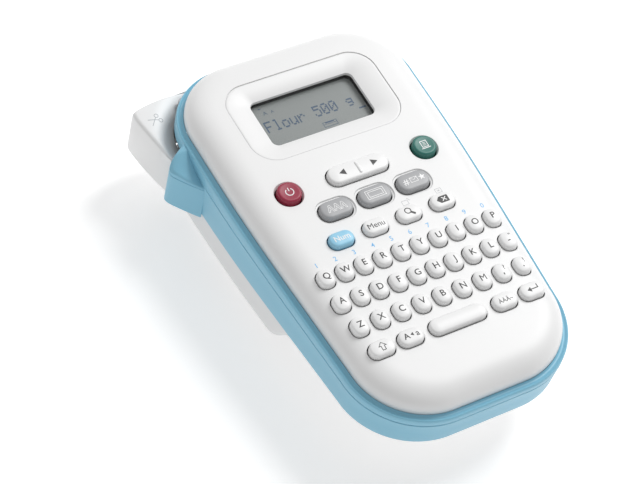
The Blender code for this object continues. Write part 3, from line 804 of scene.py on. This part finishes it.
stations = 90
innerSide = evenPath(softened(lever["inner"], 3, False), stations)
outerSide = evenPath(softened(lever["outer"], 3, False), stations)
width = np.linalg.norm(outerSide - innerSide, axis=1)[:, None]
inward = (innerSide - outerSide) / width
leverLines = [toWorld(*(outerSide + inward * 1.0).T, lever["bottom"]),
              toWorld(*(outerSide + inward * 0.3).T, lever["bottom"] - 0.3),
              toWorld(*outerSide.T, lever["bottom"] - 1.0),
              toWorld(*outerSide.T, lever["top"] + lever["edge"] + 6),
              toWorld(*(outerSide + inward * 0.15).T, lever["top"] + lever["edge"])]
for angle in np.radians((15, 30, 45, 60, 75, 90)):
    edgePoints = outerSide + inward * (0.15 + lever["edge"] * (1 - math.cos(angle)))
    leverLines.append(toWorld(*edgePoints.T, leverTop(edgePoints) + lever["edge"] * (1 - math.sin(angle))))
for share in np.linspace(0.1, 1.0, 14):
    topPoints = outerSide + inward * ((lever["edge"] + 0.15) + (width - lever["edge"] - 0.15) * share)
    leverLines.append(toWorld(*topPoints.T, leverTop(topPoints)))
leverLines += [toWorld(*innerSide.T, 34.0), toWorld(*innerSide.T, lever["bottom"])]
leverPoints = np.stack(leverLines, 1)       # station by station, each a closed ring of the section
leverFaces = ringFaces(stations, len(leverLines)) + capFaces(stations, len(leverLines))
cutterLever = makePiece("lever_cover", leverPoints, leverFaces, whiteAbs, "lever", 45)
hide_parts("cutter_lever")
print("exit block and lever made")


# ---- legends: flat shapes laid on the surface under them

def refine(flat, parts, longest=0.55):
    # cut flat faces into small triangles, so that a shape can follow a curved surface
    mesh = bmesh.new()
    corners = [mesh.verts.new((x, y, 0.0)) for x, y in flat]
    for part in parts:
        mesh.faces.new([corners[i] for i in part])
    bmesh.ops.triangulate(mesh, faces=mesh.faces)
    for _ in range(4):
        long = [edge for edge in mesh.edges if edge.calc_length() > longest]
        if not long:
            break
        bmesh.ops.subdivide_edges(mesh, edges=long, cuts=1)
        bmesh.ops.triangulate(mesh, faces=mesh.faces)
    mesh.verts.index_update()
    fine = np.array([corner.co[:2] for corner in mesh.verts])
    triangles = [[corner.index for corner in part.verts] for part in mesh.faces]
    mesh.free()
    return upright(fine, triangles)


def slabOn(name, shapes, depthAt, ink, body, centre=(0.0, 0.0), lift=0.05, sink=0.2, fine=True):
    # flat shapes given in mm round a centre, each followed by the surface's depth and given a thin edge
    points, faces, start = [], [], 0
    for flat, parts in shapes:
        if fine:
            flat, parts = refine(flat, parts)
        count = len(flat)
        depth = depthAt(flat)
        points += [toWorld(flat[:, 0] + centre[0], flat[:, 1] + centre[1], depth - lift),
                   toWorld(flat[:, 0] + centre[0], flat[:, 1] + centre[1], depth + sink)]
        edges = {(a, b) for part in parts for a, b in zip(part, part[1:] + part[:1])}
        faces += [[start + i for i in part] for part in parts]
        faces += [[start + count + i for i in reversed(part)] for part in parts]
        faces += [[start + b, start + a, start + count + a, start + count + b]
                  for a, b in edges if (b, a) not in edges]
        start += 2 * count
    return makePiece(name, np.concatenate(points), faces, ink, body, 0)


def upright(flat, parts):
    # turn every face so that it runs anticlockwise
    flat = np.asarray(flat, float)
    turned = []
    for part in parts:
        x, y = flat[list(part)].T
        area = np.sum(x * np.roll(y, -1) - np.roll(x, -1) * y)
        turned.append(list(part) if area > 0 else list(part)[::-1])
    return flat, turned


def area(points, at=(0.0, 0.0)):
    return upright(np.array(points, float) + at, [range(len(points))])


def stroke(path, width, closed=False, at=(0.0, 0.0)):
    # a line of even width along a path, mitred at its bends
    path = np.array(path, float) + at
    ahead = np.roll(path, -1, 0) - path
    behind = path - np.roll(path, 1, 0)
    if not closed:
        ahead[-1], behind[0] = behind[-1], ahead[0]
    ahead /= np.linalg.norm(ahead, axis=1)[:, None]
    behind /= np.linalg.norm(behind, axis=1)[:, None]
    side = np.stack((-ahead[:, 1] - behind[:, 1], ahead[:, 0] + behind[:, 0]), 1)
    side /= np.linalg.norm(side, axis=1)[:, None]
    reach = width / 2 / np.clip(side[:, 1] * ahead[:, 0] - side[:, 0] * ahead[:, 1], 0.5, 1)[:, None]
    flat = np.concatenate([path + side * reach, path - side * reach])
    count = len(path)
    spans = range(count if closed else count - 1)
    return upright(flat, [(i, (i + 1) % count, count + (i + 1) % count, count + i) for i in spans])


def circle(radius, at=(0.0, 0.0), start=0.0, end=360.0, count=28):
    angle = np.radians(np.linspace(start, end, count, endpoint=abs(end - start) < 360))
    return np.stack((np.cos(angle), np.sin(angle)), 1) * radius + at


def lettering(text, height, at=(0.0, 0.0), weight=0.0, stretch=1.0):
    # a word as flat faces, its capitals a given height in mm, centred on a point
    curve = bpy.data.curves.new("lettering", "FONT")
    curve.body = text
    curve.size = 1.0
    curve.offset = weight
    curve.resolution_u = 4
    holder = bpy.data.objects.new("lettering", curve)
    bpy.context.scene.collection.objects.link(holder)
    graph = bpy.context.evaluated_depsgraph_get()
    data = bpy.data.meshes.new_from_object(holder.evaluated_get(graph))
    flat = np.array([vertex.co[:2] for vertex in data.vertices])
    parts = [tuple(polygon.vertices) for polygon in data.polygons]
    bpy.data.objects.remove(holder)
    bpy.data.curves.remove(curve)
    bpy.data.meshes.remove(data)
    capital = 0.7       # the font's capitals stand this share of its size
    middle = np.array(((flat[:, 0].max() + flat[:, 0].min()) / 2, capital / 2))
    return upright((flat - middle) * (height / capital * stretch, height / capital) + at, parts)


def onCap(name, shapes, ink, lift=0.05):
    cap = caps[name]
    label = name.replace("_key", "") + "_legend"
    if name == "delete_key" and ink is whiteInk:
        label += "_light"       # the cross on the dark mark
    slabOn(label, shapes, lambda flat: capDepth(cap, flat), ink, cap["body"], cap["centre"], lift)


legendHeight = 2.95
second = {"-": '"', ",": "?", ".": "!"}
for name, cap in caps.items():
    if cap["kind"] == "letter":
        letter = cap["letter"]
        if letter in second:
            shapes = [lettering(letter, legendHeight, (-0.3, -0.2), 0.01),
                      lettering(second[letter], 2.2, (1.2, 1.5), 0.005)]
        else:
            weight = 0.0 if letter == "M" else 0.01     # a heavier M fills in
            shapes = [lettering(letter, legendHeight, (0.15, 0.35), weight)]
        onCap(name, shapes, darkInk)

onCap("num_key", [lettering("Num", 2.6, (0, 0.1), 0.012)], whiteInk)
onCap("menu_key", [lettering("Menu", 2.6, (0, 0.1), 0.0)], darkInk)
onCap("search_key", [stroke(circle(1.35, (-0.6, 0.7)), 0.42, True),
                     stroke(((0.45, -0.35), (2.0, -1.7)), 0.95)], darkInk)
onCap("delete_key", [area(((-3.0, 0.1), (-1.5, 1.8), (2.6, 1.8), (2.6, -1.6), (-1.5, -1.6)))], darkInk)
onCap("delete_key", [stroke(((-0.5, -0.85), (1.5, 1.05)), 0.42), stroke(((-0.5, 1.05), (1.5, -0.85)), 0.42)],
      whiteInk, 0.1)
onCap("shift_key", [stroke(((0, 2.1), (-1.7, 0.3), (-0.75, 0.3), (-0.75, -1.6), (0.75, -1.6), (0.75, 0.3),
                            (1.7, 0.3)), 0.3, True)], darkInk)
onCap("case_key", [lettering("A", 2.7, (-2.2, 0.4), 0.012), area(((-0.35, 0.4), (1.05, 1.25), (1.05, -0.45))),
                   lettering("a", 2.7, (2.9, 0.4), 0.012)], darkInk)
onCap("accent_key", [lettering("ÀÄÂ~", 1.9, (0, -0.2), 0.0)], darkInk)
onCap("enter_key", [stroke(((2.4, 1.7), (2.4, -0.1), (-1.4, -0.1)), 0.45),
                    area(((-2.7, -0.1), (-0.9, 1.1), (-0.9, -1.3)))], darkInk)
onCap("power_button", [stroke(circle(1.75, (0, -0.1), 125, 415), 0.4), stroke(((0, 0.4), (0, 2.1)), 0.4)],
      whiteInk)
onCap("print_button", [stroke(((-1.45, -1.0), (1.45, -1.0), (1.45, 2.1), (-1.45, 2.1)), 0.34, True),
                       stroke(((-2.2, -1.7), (2.2, -1.7)), 0.4),
                       *(stroke(((-0.7, y), (-0.2, y + 0.25), (0.3, y), (0.8, y + 0.25)), 0.22)
                         for y in (-0.3, 0.4, 1.1))], whiteInk)
letterA = ((-1.5, -1.7), (-0.4, 1.7), (0.4, 1.7), (1.5, -1.7), (0.8, -1.7), (0.5, -0.75), (-0.5, -0.75),
           (-0.8, -1.7))
letterHole = ((-0.3, -0.1), (0, 0.9), (0.3, -0.1))
onCap("font_key", [stroke(path, width, True, (x, 0)) for x in (-3.0, 0.0, 3.0)
                   for path, width in ((letterA, 0.22), (letterHole, 0.2))], whiteInk)
onCap("frame_key", [stroke(((-w, -h), (w, -h), (w, h), (-w, h)), 0.28, True)
                    for w, h in ((4.3, 2.1), (3.3, 1.25))], whiteInk)
star = circle(1.75, (4.0, 0.1), 90, 450, 10)
star[1::2] = (star[1::2] - (4.0, 0.1)) * 0.42 + (4.0, 0.1)
onCap("symbol_key", [lettering("#", 2.9, (-3.9, 0), 0.01),
                     stroke(((-1.7, -1.2), (1.7, -1.2), (1.7, 1.2), (-1.7, 1.2)), 0.26, True),
                     stroke(((-1.6, 1.1), (0, -0.2), (1.6, 1.1)), 0.22), area(star)], whiteInk)
onCap("arrow_rocker", [area(((side * 9.4, 0), (side * 6.4, 1.6), (side * 6.4, -1.6))) for side in (-1, 1)],
      darkInk)
ridge = roundedRectangle(1.3, 6.2, 0.62, 40)
rocker = caps["arrow_rocker"]
ridgeRings = []
for inset, rise in ((0.0, -0.3), (0.0, 0.2), (0.15, 0.55), (0.4, 0.75), (0.58, 0.8)):
    flat = ridge[0] - ridge[1] * inset
    ridgeRings.append(flatRing(flat, capDepth(rocker, flat) - rise * 0.6, rocker["centre"]))
sweep("rocker_ridge", ridgeRings, whiteKey, "rocker", smooth=60)


def onFace(name, shapes, ink, at, lift=0.04):
    slabOn(name, shapes, lambda flat: faceDepth(flat + at), ink, "housing", at, lift, 0.15)


firstRow = [cap for cap in caps.values() if cap["body"] == "letter_row_1"]
for digit, cap in zip("1234567890", firstRow):
    onFace("digit_" + digit, [lettering(digit, 2.3, (0, 0), 0.004)], blueInk,
           cap["centre"] + np.array((-0.2, 7.7)))
onFace("preview_mark", [stroke(((-1.4, -1.1), (1.4, -1.1), (1.4, 1.1), (-1.4, 1.1)), 0.16, True),
                        stroke(((2.0, 1.5), (2.6, 0.4)), 0.16), stroke(((1.6, 1.9), (2.0, 1.5)), 0.16)],
       paleInk, caps["search_key"]["centre"] + np.array((1.9, 6.1)))
onFace("clear_mark", [stroke(((-1.4, -1.1), (1.4, -1.1), (1.4, 1.1), (-1.4, 1.1)), 0.16, True),
                      stroke(((-0.6, -0.5), (0.6, 0.5)), 0.16), stroke(((-0.6, 0.5), (0.6, -0.5)), 0.16)],
       paleInk, caps["delete_key"]["centre"] + np.array((1.9, 6.1)))
scissors = np.array((-59.6, 112.6))
scissorMarks = [stroke(circle(0.9, (1.6, 2.2)), 0.28, True), stroke(circle(0.9, (2.7, -0.4)), 0.28, True),
                stroke(((1.0, 1.5), (-2.2, -2.4)), 0.3), stroke(((1.9, -0.1), (-3.0, 1.2)), 0.3)]
slabOn("scissors_mark", scissorMarks, lambda flat: leverTop(flat + scissors), paleInk, "lever", scissors)

# the display's own writing, dot by dot: rows from top to bottom, the left dot worth sixteen
dotRows = {"F": (31, 16, 16, 30, 16, 16, 16), "l": (12, 4, 4, 4, 4, 4, 14), "o": (0, 0, 14, 17, 17, 17, 14),
           "u": (0, 0, 17, 17, 17, 19, 13), "r": (0, 0, 22, 25, 16, 16, 16), "5": (31, 16, 30, 1, 1, 17, 14),
           "0": (14, 17, 19, 21, 25, 17, 14), "g": (0, 0, 15, 17, 15, 1, 14), " ": (0,) * 7}
writing = {"text": "Flour 500 g", "left": -22.5, "top": 86.2, "across": 0.665, "down": 0.86, "depth": 8.87}
dots = []
for place, letter in enumerate(writing["text"]):
    for row, bits in enumerate(dotRows[letter]):
        dots += [(place * 6 + column, row) for column in range(5) if bits & (16 >> column)]
dots += [(len(writing["text"]) * 6 + column, 9.2) for column in range(5)]
dots = np.array(dots, float)
dotCentres = np.stack((writing["left"] + (dots[:, 0] + 0.5) * writing["across"],
                       writing["top"] - (dots[:, 1] + 0.5) * writing["down"]), 1)
corner = np.array(((-0.48, -0.48), (0.48, -0.48), (0.48, 0.48), (-0.48, 0.48))) * (writing["across"],
                                                                                  writing["down"])
dotShapes = [(dotCentre + corner, [[0, 1, 2, 3]]) for dotCentre in dotCentres]
slabOn("display_writing", dotShapes, lambda flat: np.full(len(flat), writing["depth"]), lcdInk, "housing",
       (0.0, 0.0), 0.0, 0.02, fine=False)
screenMarks = [lettering("A", 2.0, (-19.0, 90.6)), stroke(((-21.0, 93.4), (-19.8, 93.4)), 0.45),
               lettering("A", 1.5, (-15.5, 90.4)),
               stroke(((2.0, 73.9), (8.6, 73.9), (8.6, 76.4), (2.0, 76.4)), 0.26, True),
               stroke(((2.0, 75.3), (8.6, 75.3)), 0.2), stroke(((3.2, 76.0), (7.4, 76.0)), 0.5)]
slabOn("display_marks", screenMarks, lambda flat: np.full(len(flat), writing["depth"]), lcdInk, "housing",
       (0.0, 0.0), 0.0, 0.02)
print("legends made")

# ---- floor, CAD finishes and the end

floorMaterial = mouldedPlastic("matt white paper", "#FAFAFA", "#F7F7F7", 0.9, 1.0, 0.0)
floorShader = floorMaterial.node_tree.nodes["Principled BSDF"]
floorShader.inputs["Emission Color"].default_value = linear("#FFFFFF")
floorShader.inputs["Emission Strength"].default_value = 0.3       # a back-lit sweep, so its shadows stay pale
floorData = bpy.data.meshes.new("floor")
floorData.from_pydata([(-3, -3, 0), (3, -3, 0), (3, 3, 0), (-3, 3, 0)], [], [(0, 1, 2, 3)])
floorData.materials.append(floorMaterial)
floor = bpy.data.objects.new("floor", floorData)
bpy.context.scene.collection.objects.link(floor)
floor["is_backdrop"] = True

slotFinish = {"white_abs": whiteAbs, "blue_abs": blueAbs, "sky_key": skyKey, "grey_key": greyKey,
              "red_key": redKey, "green_key": greenKey, "black_plastic": blackPlastic,
              "clear_lens": clearLens, "lcd_glass": lcdGrey, "silicone": silicone,
              "circuit_board": boardGreen, "steel": steel, "brass": brass, "battery_jacket": jacket,
              "label_tape": labelFilm}
nodeFinish = {
    "white_abs": ("platen_gear", "idler_gear"),
    "grey_key": ("cassette_case", "cassette_lid"),
    "black_plastic": ("chassis", "blade_guide", "print_head", "ribbon_spool"),
    "lcd_glass": ("lcd_module",),
    "silicone": ("keypad_membrane", "platen_roller"),
    "circuit_board": ("circuit_board",),
    "steel": ("lever_pin", "cutter_blade", "platen_shaft", "idler_post", "drive_motor", "heat_sink",
              "battery_contact_front", "battery_contact_back", *(f"case_screw_{i}" for i in range(1, 5))),
    "brass": ("motor_pinion", "lcd_flex"),
    "battery_jacket": tuple(f"battery_{i}" for i in range(1, 7)),
    "label_tape": ("label_spool", "label_tape"),
}
for slotName, nodes in nodeFinish.items():
    for node in nodes:
        for materialSlot in frame["nodes"][node].material_slots:
            materialSlot.material = slotFinish[slotName]
print("CAD nodes finished")

low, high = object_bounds()
